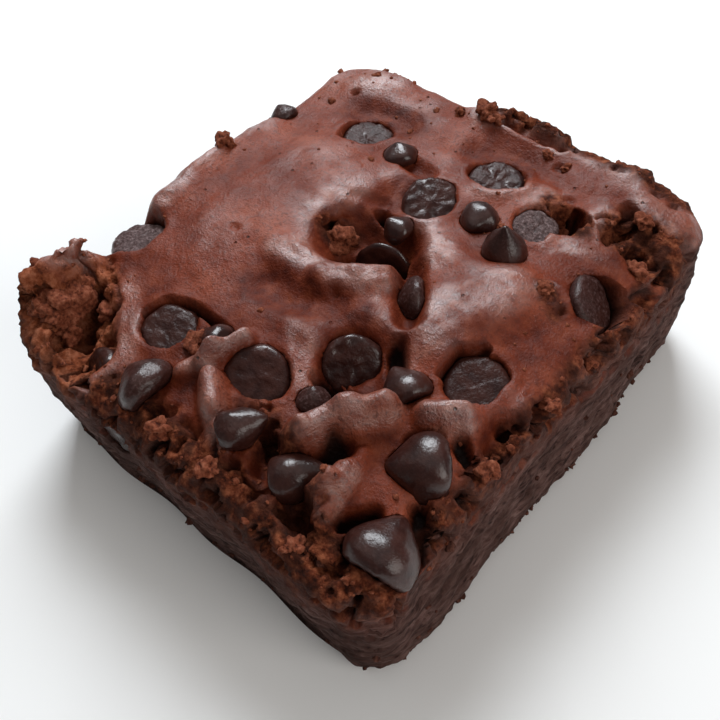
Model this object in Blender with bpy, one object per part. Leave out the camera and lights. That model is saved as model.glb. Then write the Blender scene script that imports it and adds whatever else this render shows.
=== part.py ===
"""A square-cut chocolate brownie with chocolate chips baked into its crust.

The brownie is one solid: a slab with rounded corners, a relief of swells, ridges and hollows
on top, and cut sides that draw in a little towards the base. Each chip is a solid of its own,
seated in a pocket of the brownie with a small gap all round. Tables are in millimetres, the
model in metres, with +Z up, the origin under the middle of the base, -Y the front and +X the
right cut side.
"""

import math

import bmesh
import bpy
from mathutils import Matrix, Vector

MM = 0.001

# Driving dimensions of the slab, in millimetres
WIDTH = 70.6
LENGTH = 79.4
EDGE_HEIGHT = 25.4
DOME_RISE = 1.6
CORNER_RADII = {(1, -1): 5.5, (-1, -1): 6.5, (1, 1): 7.0, (-1, 1): 9.0}
# Where the middle of the finished slab lies in the tables
TABLE_ORIGIN = (-0.18, 0.12)
TOP_CELLS = (26, 29)
SIDE_RINGS = 5

# The crust's shoulder, the falls towards the front and right cuts, and the sides' shape
SHOULDER_DROP = 2.0
SHOULDER_REACH = 3.0
FRONT_FALL = (-16.0, 0.085)
RIGHT_FALL = (22.0, 0.11)
SIDE_BOW = 0.4
BASE_INSET = 0.5
FOOT_INSET = 0.8

# Swells and ridges of the crust: start, end, reach, rise and the share of the reach that is flat
SWELLS = {
    "broad_left": ((-20, -4), (-18, 8), 16.0, 1.6, 0.2),
    "back": ((-24, 33), (-6, 34), 8.0, 1.0, 0.2),
    "left_edge": ((-35, -7), (-35, 12), 9.0, 1.9, 0.2),
    "left_bulge": ((-34, -8), (-35, 2), 6.5, 1.2, 0.2),
    "far_corner": ((-31, 33), (-25, 36), 8.0, 1.1, 0.2),
    "right_corner": ((24, 37), (34, 32), 7.0, 1.5, 0.2),
    "far_edge": ((-4, 37), (8, 37), 5.5, 1.6, 0.2),
    "far_right": ((13, 35), (18, 34), 6.0, 1.2, 0.2),
    "right_shoulder": ((25, 31), (26, 22), 7.0, 0.8, 0.2),
    "hollow_rim_left": ((-9, -6), (-3, -8), 4.5, 1.1, 0.2),
    "hollow_rim_right": ((0, -7), (6, -2), 4.0, 1.8, 0.2),
    "middle": ((4, -13), (6, -8), 7.0, 1.0, 0.2),
    "right": ((17, -4), (20, 6), 8.0, 2.0, 0.2),
    "chip_bank": ((6, 21), (13, 26), 4.0, 0.8, 0.1),
    "front_ridge": ((19.5, -18.5), (14.5, -26.5), 3.8, 3.0, 0.2),
    "fork": ((-2.0, -21.0), (-3.5, -25.5), 2.2, 1.6, 0.1),
    "fork_end": ((-3.5, -25.5), (-5.5, -29.5), 2.4, 1.8, 0.1),
    "finger": ((-1.0, -28.5), (5.5, -33.5), 2.6, 2.0, 0.1),
    "saddle": ((24.5, -15.5), (28.0, -13.0), 3.0, 2.0, 0.1),
    "corner_ridge": ((21.0, -28.0), (22.5, -33.0), 2.8, 2.2, 0.1),
    "torn_lump": ((-33.6, -26.0), (-35.0, -33.0), 4.8, 5.2, 0.3),
}

# Hollows, clefts and holes of the crust, in the same form, with a depth in place of the rise
HOLLOWS = {
    "hollow": ((-3.5, 2.5), (1.5, 4.0), 6.8, 4.0, 0.35),
    "hollow_slope": ((-4.0, 8.0), (-3.0, 14.0), 5.5, 1.6, 0.1),
    "cleft": ((7.0, 3.0), (13.5, -5.5), 2.8, 2.6, 0.1),
    "upright_pit": ((11.0, -14.0), (14.0, -17.0), 6.5, 3.4, 0.3),
    "deep_hole": ((18.7, 22.3), (19.6, 24.3), 2.6, 5.0, 0.3),
    "groove": ((-7.0, 20.5), (-3.5, 20.0), 2.4, 1.4, 0.1),
    "torn_floor": ((-26.5, -30.0), (-21.0, -34.5), 5.6, 3.4, 0.3),
    "left_notch": ((-36.0, -14.0), (-35.0, -19.0), 5.0, 2.2, 0.3),
    "right_hole": ((32.0, -11.0), (32.4, -13.0), 2.6, 3.0, 0.2),
    "front_hole": ((20.5, -35.0), (21.2, -35.6), 2.6, 2.6, 0.2),
    "rim_chip_hole": ((11.6, -31.0), (12.4, -32.5), 2.6, 2.6, 0.2),
    "right_tear": ((28.0, 27.0), (31.0, 24.5), 3.6, 1.8, 0.2),
}

# Chips: middle of the flat base and its depth under the crust, radius, height, then the lean from
# +Z and the heading of the tip. A lean near 180 shows the base, a small one the tip, and one near
# 90 a chip on its edge.
CHIPS = {
    "chip_01": ((-17.8, 22.1, 0.9), 4.7, 6.0, 175, 136),
    "chip_02": ((-9.5, 20.9, 2.0), 3.1, 4.6, 26, 150),
    "chip_03": ((1.0, 15.4, 0.0), 4.7, 6.0, 162, 140),
    "chip_04": ((5.7, 25.2, 0.6), 4.8, 6.0, 172, 136),
    "chip_05": ((9.1, 17.6, 1.3), 3.1, 6.6, 66, 282),
    "chip_06": ((15.8, 12.7, 1.4), 3.4, 7.0, 6, 300),
    "chip_07": ((16.3, 20.0, 0.3), 3.6, 5.0, 168, 150),
    "chip_08": ((1.4, 8.2, -0.4), 2.5, 4.6, 44, 196),
    "chip_09": ((1.4, 2.6, 1.2), 4.7, 3.4, 102, 108),
    "chip_10": ((12.0, -0.5, 1.7), 4.1, 4.6, 88, 219),
    "chip_11": ((-30.8, -16.2, 0.3), 4.7, 5.6, 170, -20),
    "chip_12": ((-13.4, -25.4, 0.7), 4.5, 6.0, 168, 136),
    "chip_13": ((-4.0, -22.9, 1.6), 2.9, 5.2, 76, 190),
    "chip_14": ((-6.6, -33.8, 0.6), 4.3, 6.8, 62, 178),
    "chip_15": ((-18.6, -36.0, 0.4), 4.1, 5.0, 124, 70),
    "chip_16": ((3.2, -24.2, 0.1), 4.8, 6.0, 156, 134),
    "chip_17": ((11.0, -14.6, -1.2), 4.4, 6.0, 136, 136),
    "chip_18": ((21.6, -14.9, 1.4), 3.5, 6.4, 70, 157),
    "chip_19": ((26.2, -7.5, 0.7), 4.7, 6.0, 168, 136),
    "chip_20": ((29.4, -19.0, 1.5), 4.6, 8.0, 72, 226),
    "chip_21": ((30.8, -34.4, 1.6), 4.8, 9.0, 72, 96),
    "chip_22": ((14.4, -33.0, 0.9), 3.2, 8.0, 74, 44),
    "chip_23": ((5.8, -33.2, 0.9), 2.9, 7.6, 72, 50),
    "chip_24": ((11.6, -22.6, 1.0), 2.4, 3.4, 20, 120),
    "chip_25": ((30.4, 14.0, 0.8), 4.4, 5.0, 126, 200),
    "chip_26": ((-33.0, 18.6, 1.4), 2.7, 3.8, 40, 170),
    "chip_27": ((-12.4, -39.5, 7.4), 3.8, 5.0, 92, 88),
}
# A chip's outline from the rim of its base to its tip: share of the radius, share of the height
CHIP_OUTLINE = ((0.84, 0.0), (1.0, 0.16), (0.84, 0.42), (0.5, 0.68), (0.2, 0.9))
CHIP_SIDES = 10
SEAT_GAP = 0.35
# A chip whose base faces outwards lies in an open well of this depth and flare
BASE_OUT_LEAN = 90
WELL_DEPTH = 4.0
WELL_FLARE = 0.3

BAKED_CAKE = ((0.16, 0.062, 0.040), 0.62)
CHOCOLATE = ((0.040, 0.020, 0.018), 0.32)


def eased(share):
    """A smooth step from 0 to 1."""
    share = min(1.0, max(0.0, share))
    return share * share * (3.0 - 2.0 * share)


def lobe(x, y, form):
    """Height share, from 1 on a rounded bar between two points to 0 at its reach."""
    (x0, y0), (x1, y1), reach, size, flat = form
    along_x, along_y = x1 - x0, y1 - y0
    length_squared = along_x * along_x + along_y * along_y
    share = ((x - x0) * along_x + (y - y0) * along_y) / length_squared
    share = min(1.0, max(0.0, share))
    away = math.hypot(x - x0 - share * along_x, y - y0 - share * along_y) / reach
    return size * (1.0 - eased((away - flat) / (1.0 - flat)))


def to_outline(x, y):
    """How far a point of the plan lies inside the nominal outline."""
    return min(WIDTH / 2 - abs(x), LENGTH / 2 - abs(y))


def crust_height(x, y):
    """Height of the crust over the base at a point of the plan."""
    across = 1.0 - abs(2.0 * x / WIDTH) ** 3
    along = 1.0 - abs(2.0 * y / LENGTH) ** 3
    height = EDGE_HEIGHT + DOME_RISE * max(0.0, across) * max(0.0, along)
    height -= max(0.0, FRONT_FALL[0] - y) * FRONT_FALL[1]
    height -= max(0.0, x - RIGHT_FALL[0]) * RIGHT_FALL[1]
    height += sum(lobe(x, y, form) for form in SWELLS.values())
    height -= sum(lobe(x, y, form) for form in HOLLOWS.values())
    return height


def rounded(x, y):
    """A point of the rectangle moved so that the plan's corners become arcs."""
    side_x, side_y = math.copysign(1, x), math.copysign(1, y)
    radius = CORNER_RADII[(side_x, side_y)]
    over_x = abs(x) - (WIDTH / 2 - radius)
    over_y = abs(y) - (LENGTH / 2 - radius)
    if over_x <= 0 or over_y <= 0:
        return x, y
    squeeze = max(over_x, over_y) / math.hypot(over_x, over_y)
    return (
        side_x * (abs(x) - over_x * (1 - squeeze)),
        side_y * (abs(y) - over_y * (1 - squeeze)),
    )


def wavy(x, y):
    """How far the cut outline wanders outwards at a point of the plan."""
    return 0.3 * math.sin(0.31 * x + 0.9) + 0.7 * math.sin(0.075 * y - 0.3)


def shaped_top(point):
    """A point of the flat grid, in millimetres, moved onto the crust."""
    depth = to_outline(point.x, point.y)
    shoulder = SHOULDER_DROP * (1.0 - math.sin(min(1.0, depth / SHOULDER_REACH) * math.pi / 2))
    x, y = rounded(point.x, point.y)
    spread = 1.0 + wavy(x, y) * eased(1.0 - depth / 12.0) / (WIDTH / 2)
    x, y = x * spread, y * spread
    return Vector((x, y, crust_height(x, y) - shoulder))


def side_inset(share):
    """How far the side stands in from the outline, from the crust at 0 to the base at 1."""
    foot = max(0.0, share - 0.8) / 0.2
    return BASE_INSET * share + FOOT_INSET * foot * foot - SIDE_BOW * math.sin(math.pi * share)


def add_object(name, mesh, finish):
    """Link a mesh as a named object with its own material."""
    color, roughness = finish
    obj = bpy.data.objects.new(name, mesh)
    bpy.context.scene.collection.objects.link(obj)
    material = bpy.data.materials.new(name)
    material.use_nodes = True
    shader = material.node_tree.nodes["Principled BSDF"]
    shader.inputs["Base Color"].default_value = (*color, 1.0)
    shader.inputs["Roughness"].default_value = roughness
    shader.inputs["Metallic"].default_value = 0.0
    mesh.materials.append(material)
    return obj


def brownie_mesh():
    """The slab: a grid laid on the crust, its border drawn down in rings and closed below."""
    bm = bmesh.new()
    bmesh.ops.create_grid(bm, x_segments=TOP_CELLS[0], y_segments=TOP_CELLS[1], size=0.5)
    for vertex in bm.verts:
        vertex.co = shaped_top(Vector((vertex.co.x * WIDTH, vertex.co.y * LENGTH, 0.0)))
    border = [edge for edge in bm.edges if edge.is_boundary]
    for ring in range(1, SIDE_RINGS + 1):
        share = ring / SIDE_RINGS
        step = side_inset(share) - side_inset(share - 1.0 / SIDE_RINGS)
        grown = bmesh.ops.extrude_edge_only(bm, edges=border)["geom"]
        border = [item for item in grown if isinstance(item, bmesh.types.BMEdge)]
        for vertex in {vertex for edge in border for vertex in edge.verts}:
            lower = vertex.co.z * (1.0 - 1.0 / (SIDE_RINGS - ring + 1))
            inwards = Vector((vertex.co.x, vertex.co.y, 0.0)).normalized() * step
            vertex.co = Vector((vertex.co.x, vertex.co.y, lower)) - inwards
    bmesh.ops.contextual_create(bm, geom=border)
    bmesh.ops.triangulate(bm, faces=[face for face in bm.faces if len(face.verts) > 4])
    bmesh.ops.recalc_face_normals(bm, faces=bm.faces)
    bmesh.ops.translate(bm, vec=(-TABLE_ORIGIN[0], -TABLE_ORIGIN[1], 0.0), verts=bm.verts)
    bmesh.ops.scale(bm, vec=(MM, MM, MM), verts=bm.verts)
    mesh = bpy.data.meshes.new("brownie")
    bm.to_mesh(mesh)
    bm.free()
    return mesh


def chip_mesh(name, radius, height, gap=0.0, well=0.0):
    """A chip standing on its base: its outline spun round, moved out by the gap, with a well."""
    outline = [(share * (radius + gap), up * (height + 2 * gap) - gap) for share, up in CHIP_OUTLINE]
    outline.append((0.0, height + gap))
    if well:
        mouth = radius + gap + WELL_FLARE
        outline[0] = (mouth, -well)
        outline.insert(0, (0.0, -well))
    else:
        outline.insert(0, (0.0, -gap))
    bm = bmesh.new()
    verts = [bm.verts.new((along * MM, 0.0, up * MM)) for along, up in outline]
    edges = [bm.edges.new(pair) for pair in zip(verts, verts[1:])]
    bmesh.ops.spin(
        bm,
        geom=[*verts, *edges],
        axis=(0, 0, 1),
        cent=(0, 0, 0),
        angle=math.tau,
        steps=CHIP_SIDES,
        use_merge=True,
        use_duplicate=False,
    )
    bmesh.ops.remove_doubles(bm, verts=bm.verts, dist=0.01 * MM)
    bmesh.ops.recalc_face_normals(bm, faces=bm.faces)
    mesh = bpy.data.meshes.new(name)
    bm.to_mesh(mesh)
    bm.free()
    return mesh


def seat(obj, place, lean, heading):
    """Put a chip's base in place under the crust, with its tip leaning towards a heading."""
    x, y, depth = place
    middle = Vector((x - TABLE_ORIGIN[0], y - TABLE_ORIGIN[1], crust_height(x, y) - depth)) * MM
    turn = Matrix.Rotation(math.radians(heading), 4, "Z") @ Matrix.Rotation(math.radians(lean), 4, "Y")
    obj.matrix_world = Matrix.Translation(middle) @ turn


def build():
    """Build the brownie and its chips."""
    for old in list(bpy.data.objects):
        bpy.data.objects.remove(old)
    brownie = add_object("brownie", brownie_mesh(), BAKED_CAKE)
    for name, (place, radius, height, lean, heading) in CHIPS.items():
        chip = add_object(name, chip_mesh(name, radius, height), CHOCOLATE)
        seat(chip, place, lean, heading)
        chip.data.shade_smooth()
        well = WELL_DEPTH if lean > BASE_OUT_LEAN else 0.0
        pocket = add_object(name + "_pocket", chip_mesh(name, radius, height, SEAT_GAP, well), CHOCOLATE)
        seat(pocket, place, lean, heading)
        pocket.hide_render = True
        pocket.display_type = "WIRE"
        cut = brownie.modifiers.new(name + "_pocket", "BOOLEAN")
        cut.operation = "DIFFERENCE"
        cut.solver = "EXACT"
        cut.object = pocket


if __name__ == "__main__":
    build()
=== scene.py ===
# %% [markdown]
# # A chocolate brownie with chocolate chips
# A brownie is a cut block of dense cake. Its top is a thin baked skin that has swollen, sunk and
# cracked over the chips, and its sides are rough because a knife dragged through moist crumb.
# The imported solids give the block's size and every chip's place. This lesson puts the finish on
# them: a fine cake mesh, real chip shapes, loose crumbs, and a procedural material for each.

# %% Load the frame
import math
import random

import bmesh
import bpy
import numpy as np
from mathutils import Matrix, Vector, noise
from mathutils.bvhtree import BVHTree


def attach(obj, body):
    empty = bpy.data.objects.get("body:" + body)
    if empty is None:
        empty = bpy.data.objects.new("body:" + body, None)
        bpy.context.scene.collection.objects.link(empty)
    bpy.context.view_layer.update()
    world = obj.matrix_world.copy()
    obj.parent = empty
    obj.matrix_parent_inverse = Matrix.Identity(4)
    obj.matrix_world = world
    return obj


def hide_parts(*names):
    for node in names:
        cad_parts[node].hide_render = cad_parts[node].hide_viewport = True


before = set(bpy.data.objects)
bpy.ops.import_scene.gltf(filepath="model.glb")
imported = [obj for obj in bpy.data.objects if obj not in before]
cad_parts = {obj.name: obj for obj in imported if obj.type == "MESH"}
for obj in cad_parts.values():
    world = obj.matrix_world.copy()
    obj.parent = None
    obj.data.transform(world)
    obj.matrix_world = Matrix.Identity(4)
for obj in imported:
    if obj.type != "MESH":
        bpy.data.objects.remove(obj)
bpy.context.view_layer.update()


def add_object(name, data):
    thing = bpy.data.objects.new(name, data)
    bpy.context.scene.collection.objects.link(thing)
    return thing


def direction(turn, rise):
    turn, rise = math.radians(turn), math.radians(rise)
    return Vector((math.sin(turn) * math.cos(rise), -math.cos(turn) * math.cos(rise), math.sin(rise)))


# %% [markdown]
# ## Units, and where things stand
# Baking is measured in millimetres here, so every table below is in millimetres too. The frame's
# tables were laid out round a point slightly off the middle of the finished slab, and that small
# shift is taken off when a point goes from the tables to the model.

# %% Sizes of the slab
MM = 0.001
TABLE_ORIGIN = (-0.18, 0.12)
WIDTH = 70.6
LENGTH = 79.4
EDGE_HEIGHT = 25.4
DOME_RISE = 1.6
CORNER_RADII = {(1, -1): 5.5, (-1, -1): 6.5, (1, 1): 7.0, (-1, 1): 9.0}
SHOULDER_DROP = 2.0
SHOULDER_REACH = 3.0
FRONT_FALL = (-16.0, 0.085)
RIGHT_FALL = (22.0, 0.11)
SIDE_BOW = 0.4
BASE_INSET = 0.5
FOOT_INSET = 0.8
print("slab, in millimetres:", WIDTH, "by", LENGTH, "by", EDGE_HEIGHT + DOME_RISE)

# %% [markdown]
# ## The camera
# A brownie on a table is looked at from above one corner. The camera comes first, so that every
# later piece can be judged from where it will be seen. It is placed by its aim, its turn round
# the brownie, its height angle and a small roll of the hand that holds it.

# %% Camera
AIM = (2.3, -4.7, 9.2)
CAMERA_TURN = 46.4
CAMERA_RISE = 51.4
CAMERA_ROLL = -7.0
CAMERA_DISTANCE = 128.9
LENS = 41.46


def place_camera():
    turn, rise = math.radians(CAMERA_TURN), math.radians(CAMERA_RISE)
    back = direction(CAMERA_TURN, CAMERA_RISE)
    aim = Vector((AIM[0] - TABLE_ORIGIN[0], AIM[1] - TABLE_ORIGIN[1], AIM[2]))
    view = bpy.data.cameras.new("table_view")
    view.lens = LENS
    view.sensor_width = 36.0
    view.clip_start = 0.005
    camera = add_object("table_view", view)
    camera.matrix_world = (
        Matrix.Translation((aim + back * CAMERA_DISTANCE) * MM)
        @ Matrix.Rotation(turn, 4, "Z")
        @ Matrix.Rotation(math.pi / 2 - rise, 4, "X")
        @ Matrix.Rotation(math.radians(CAMERA_ROLL), 4, "Z")
    )
    bpy.context.scene.camera = camera
    return camera


camera = place_camera()
print("camera at", [round(v, 3) for v in camera.matrix_world.translation])

# %% [markdown]
# ## Light and table
# A cake crust shows its skin best against the light: one large cool window-like panel stands
# behind the brownie, where the crust mirrors it towards the camera. A wide panel overhead and a
# weak warm one at the side fill the rest. Each has a turn, a rise, a distance and a size in
# metres, a power and a colour. The table is a plain pale sheet.

# %% Light and table
PANELS = {
    "window_panel": (222.0, 47.0, 0.5, 0.24, 2.7, (0.90, 0.95, 1.0)),
    "ceiling_panel": (250.0, 78.0, 0.6, 1.0, 1.3, (1.0, 0.98, 0.95)),
    "fill_panel": (92.0, 30.0, 0.6, 0.4, 1.6, (1.0, 0.96, 0.92)),
}
ROOM_COLOR = (0.97, 0.98, 1.0)
ROOM_STRENGTH = 0.12
TABLE_COLOR = (0.88, 0.88, 0.87)


def add_panel(name, turn, rise, distance, size, power, color):
    away = direction(turn, rise)
    lamp = bpy.data.lights.new(name, "AREA")
    lamp.shape = "SQUARE"
    lamp.size = size
    lamp.energy = power
    lamp.color = color
    panel = add_object(name, lamp)
    panel.location = away * distance
    panel.rotation_euler = away.to_track_quat("Z", "Y").to_euler()


for name, settings in PANELS.items():
    add_panel(name, *settings)

room = bpy.data.worlds.new("room")
room.use_nodes = True
room.node_tree.nodes["Background"].inputs["Color"].default_value = (*ROOM_COLOR, 1.0)
room.node_tree.nodes["Background"].inputs["Strength"].default_value = ROOM_STRENGTH
bpy.context.scene.world = room
bpy.context.scene.view_settings.view_transform = "Standard"


def plain_finish(name, color, roughness):
    finish = bpy.data.materials.new(name)
    finish.use_nodes = True
    shader = finish.node_tree.nodes["Principled BSDF"]
    shader.inputs["Base Color"].default_value = (*color, 1.0)
    shader.inputs["Roughness"].default_value = roughness
    return finish


def lay_table():
    bm = bmesh.new()
    bmesh.ops.create_grid(bm, x_segments=1, y_segments=1, size=2.0)
    mesh = bpy.data.meshes.new("table")
    bm.to_mesh(mesh)
    bm.free()
    mesh.materials.append(plain_finish("pale_table", TABLE_COLOR, 0.85))
    add_object("table", mesh)


lay_table()

# %% [markdown]
# ## The crust's big shapes
# Steam lifts the skin into swells and it sinks back into hollows. Each swell or hollow is a soft
# bar between two points, and the crust's height is the sum of them all. The first two tables are
# the solid's own. The third adds what is too fine for the solid: seams, lips and small dents.

# %% Swells and hollows
SWELLS = {
    "broad_left": ((-20, -4), (-18, 8), 16.0, 1.6, 0.2),
    "back": ((-24, 33), (-6, 34), 8.0, 1.0, 0.2),
    "left_edge": ((-35, -7), (-35, 12), 9.0, 1.9, 0.2),
    "left_bulge": ((-34, -8), (-35, 2), 6.5, 1.2, 0.2),
    "far_corner": ((-31, 33), (-25, 36), 8.0, 1.1, 0.2),
    "right_corner": ((24, 37), (34, 32), 7.0, 1.5, 0.2),
    "far_edge": ((-4, 37), (8, 37), 5.5, 1.6, 0.2),
    "far_right": ((13, 35), (18, 34), 6.0, 1.2, 0.2),
    "right_shoulder": ((25, 31), (26, 22), 7.0, 0.8, 0.2),
    "hollow_rim_left": ((-9, -6), (-3, -8), 4.5, 1.1, 0.2),
    "hollow_rim_right": ((0, -7), (6, -2), 4.0, 1.8, 0.2),
    "middle": ((4, -13), (6, -8), 7.0, 1.0, 0.2),
    "right": ((17, -4), (20, 6), 8.0, 2.0, 0.2),
    "chip_bank": ((6, 21), (13, 26), 4.0, 0.8, 0.1),
    "front_ridge": ((19.5, -18.5), (14.5, -26.5), 3.8, 3.0, 0.2),
    "fork": ((-2.0, -21.0), (-3.5, -25.5), 2.2, 1.6, 0.1),
    "fork_end": ((-3.5, -25.5), (-5.5, -29.5), 2.4, 1.8, 0.1),
    "finger": ((-1.0, -28.5), (5.5, -33.5), 2.6, 2.0, 0.1),
    "saddle": ((24.5, -15.5), (28.0, -13.0), 3.0, 2.0, 0.1),
    "corner_ridge": ((21.0, -28.0), (22.5, -33.0), 2.8, 2.2, 0.1),
    "torn_lump": ((-33.6, -26.0), (-35.0, -33.0), 4.8, 5.2, 0.3),
}
HOLLOWS = {
    "hollow": ((-3.5, 2.5), (1.5, 4.0), 6.8, 4.0, 0.35),
    "hollow_slope": ((-4.0, 8.0), (-3.0, 14.0), 5.5, 1.6, 0.1),
    "cleft": ((7.0, 3.0), (13.5, -5.5), 2.8, 2.6, 0.1),
    "upright_pit": ((11.0, -14.0), (14.0, -17.0), 6.5, 3.4, 0.3),
    "deep_hole": ((18.7, 22.3), (19.6, 24.3), 2.6, 5.0, 0.3),
    "groove": ((-7.0, 20.5), (-3.5, 20.0), 2.4, 1.4, 0.1),
    "torn_floor": ((-26.5, -30.0), (-21.0, -34.5), 5.6, 3.4, 0.3),
    "left_notch": ((-36.0, -14.0), (-35.0, -19.0), 5.0, 2.2, 0.3),
    "right_hole": ((32.0, -11.0), (32.4, -13.0), 2.6, 3.0, 0.2),
    "front_hole": ((20.5, -35.0), (21.2, -35.6), 2.6, 2.6, 0.2),
    "rim_chip_hole": ((11.6, -31.0), (12.4, -32.5), 2.6, 2.6, 0.2),
    "right_tear": ((28.0, 27.0), (31.0, 24.5), 3.6, 1.8, 0.2),
}
FINE_SWELLS = {
    "far_shelf": ((0.5, 38.0), (9.5, 37.5), 1.8, 0.9, 0.3),
    "hollow_lip": ((-7.0, -4.6), (3.0, -4.2), 1.8, 0.5, 0.1),
    "hollow_lip_end": ((3.0, -4.2), (6.6, 0.0), 1.6, 0.5, 0.1),
    "pale_bank": ((8.0, 8.0), (13.0, 7.0), 4.0, 0.7, 0.1),
    "buried_chip": ((25.6, 10.6), (26.8, 9.8), 3.2, 0.8, 0.3),
    "ridge_crest": ((20.0, -18.8), (17.0, -21.6), 2.6, 1.5, 0.2),
    "ridge_tail": ((17.0, -21.6), (14.6, -27.4), 2.2, 1.2, 0.2),
    "saddle_crest": ((25.0, -16.2), (28.2, -12.8), 2.0, 1.2, 0.2),
    "knob": ((20.2, -31.8), (21.0, -30.0), 1.8, 1.8, 0.3),
    "thin_ribbon": ((-3.5, -27.6), (-1.2, -21.2), 1.4, 1.8, 0.2),
    "hanging_lobe": ((-0.6, -28.6), (2.0, -31.0), 2.6, 1.6, 0.3),
    "far_rim": ((0.0, 38.5), (22.0, 38.0), 5.0, 1.0, 0.3),
    "ridge_end": ((14.6, -27.4), (12.6, -28.6), 1.8, 1.0, 0.2),
    "slope_ribbon": ((21.6, -24.6), (23.0, -29.0), 1.7, 1.1, 0.2),
    "left_rim": ((-35.0, -2.0), (-35.0, 10.0), 4.0, 0.7, 0.3),
    "corner_block": ((-31.2, -27.6), (-32.0, -32.0), 4.2, 1.0, 0.5),
}
FINE_HOLLOWS = {
    "far_crack": ((-0.5, 36.0), (10.5, 35.4), 0.9, 1.3, 0.1),
    "far_step": ((10.8, 35.6), (11.4, 38.5), 1.2, 1.2, 0.1),
    "seam_by_hollow": ((-8.5, 9.0), (-5.0, 11.5), 1.4, 0.5, 0.1),
    "small_dent_left": ((-18.0, -7.5), (-17.4, -7.6), 1.0, 0.5, 0.1),
    "small_dent_front": ((2.4, -8.2), (2.9, -8.1), 0.9, 0.8, 0.2),
    "small_dent_far": ((-26.9, 29.5), (-26.5, 29.6), 0.8, 0.9, 0.2),
    "behind_far_chip": ((-21.0, 26.5), (-15.0, 27.5), 4.5, 0.9, 0.2),
    "behind_right_chip": ((0.0, 28.6), (6.0, 30.2), 4.0, 0.6, 0.2),
    "dip_before_lip": ((-6.0, -11.6), (4.0, -11.0), 4.6, 1.0, 0.2),
    "far_pit": ((12.0, 32.3), (13.0, 32.4), 1.1, 0.7, 0.2),
    "far_pit_near": ((16.8, 27.5), (17.4, 27.6), 1.0, 0.6, 0.2),
}
GAPS = {
    "under_arched_chip": ((10.0, -18.9), (12.6, -18.2), 1.9, 3.4, 0.35),
    "beside_arched_chip": ((14.6, -9.8), (16.8, -12.2), 1.7, 3.2, 0.35),
    "left_of_corner_chip": ((24.8, -32.2), (27.0, -29.2), 1.5, 3.4, 0.3),
    "right_of_corner_chip": ((30.6, -25.2), (33.2, -29.4), 1.6, 3.6, 0.35),
    "front_hole": ((18.4, -34.6), (19.6, -33.6), 2.0, 3.4, 0.4),
    "right_hole": ((29.4, -15.7), (30.6, -16.4), 1.5, 2.6, 0.35),
    "edge_hole": ((31.4, -9.6), (32.6, -8.6), 1.5, 2.4, 0.3),
    "between_front_chips": ((9.6, -29.2), (11.2, -30.2), 1.5, 2.6, 0.35),
    "left_of_left_chip": ((-17.6, -25.6), (-16.5, -22.4), 0.9, 3.2, 0.3),
    "behind_left_chip": ((-16.5, -22.4), (-13.0, -21.0), 0.9, 3.0, 0.3),
    "behind_leaning_chip": ((-12.0, -20.9), (-5.0, -21.4), 0.9, 3.2, 0.3),
    "left_of_right_chip": ((22.0, -9.6), (21.9, -5.8), 0.9, 2.8, 0.3),
    "behind_right_chip": ((21.9, -5.8), (24.0, -3.0), 0.9, 2.4, 0.3),
    "far_hole": ((17.6, 24.2), (19.6, 24.8), 1.7, 3.0, 0.4),
    "hollow_floor": ((-3.0, -0.4), (2.4, 0.6), 2.6, 2.4, 0.3),
    "below_ridge": ((18.4, -25.6), (18.0, -29.4), 2.6, 2.6, 0.2),
    "above_ridge": ((15.4, -19.4), (13.6, -22.4), 1.5, 1.6, 0.2),
    "below_saddle": ((27.0, -17.2), (25.0, -19.4), 1.4, 1.4, 0.2),
    "slot_in_hollow": ((-4.2, 9.6), (-1.6, 9.2), 1.1, 3.0, 0.3),
    "torn_cave": ((-28.2, -26.8), (-27.6, -30.0), 2.2, 4.4, 0.4),
    "torn_cave_front": ((-26.5, -31.5), (-24.5, -33.0), 2.0, 3.0, 0.4),
}
RIGHT_BULGE = ((36.0, -24.0), (36.0, 8.0), 12.0, 1.0, 0.3)
SIDE_HOLES = (
    ((-8.4, -40.0, 18.6), 1.7, 2.2), ((-24.0, -40.0, 13.0), 1.2, 1.0), ((8.0, -40.0, 19.5), 1.5, 1.4),
    ((17.0, -40.0, 20.0), 1.6, 1.6), ((36.0, -20.0, 19.0), 1.3, 1.2), ((36.0, 4.0, 17.0), 1.0, 0.9),
)


def eased(share):
    share = np.clip(share, 0.0, 1.0)
    return share * share * (3.0 - 2.0 * share)


def lobe(x, y, form):
    (x0, y0), (x1, y1), reach, size, flat = form
    along_x, along_y = x1 - x0, y1 - y0
    share = ((x - x0) * along_x + (y - y0) * along_y) / (along_x**2 + along_y**2)
    share = np.clip(share, 0.0, 1.0)
    away = np.hypot(x - x0 - share * along_x, y - y0 - share * along_y) / reach
    return size * (1.0 - eased((away - flat) / (1.0 - flat)))


def crust_height(x, y, gaps=True):
    across = np.maximum(0.0, 1.0 - np.abs(2.0 * x / WIDTH) ** 3)
    along = np.maximum(0.0, 1.0 - np.abs(2.0 * y / LENGTH) ** 3)
    height = EDGE_HEIGHT + DOME_RISE * across * along
    height -= np.maximum(0.0, FRONT_FALL[0] - y) * FRONT_FALL[1]
    height -= np.maximum(0.0, x - RIGHT_FALL[0]) * RIGHT_FALL[1]
    for form in [*SWELLS.values(), *FINE_SWELLS.values()]:
        height += lobe(x, y, form)
    narrow = GAPS.values() if gaps else ()
    for form in [*HOLLOWS.values(), *FINE_HOLLOWS.values(), *narrow]:
        height -= lobe(x, y, form)
    return height


print("crust over the middle:", round(float(crust_height(np.array([0.0]), np.array([0.0]))[0]), 2))
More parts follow.
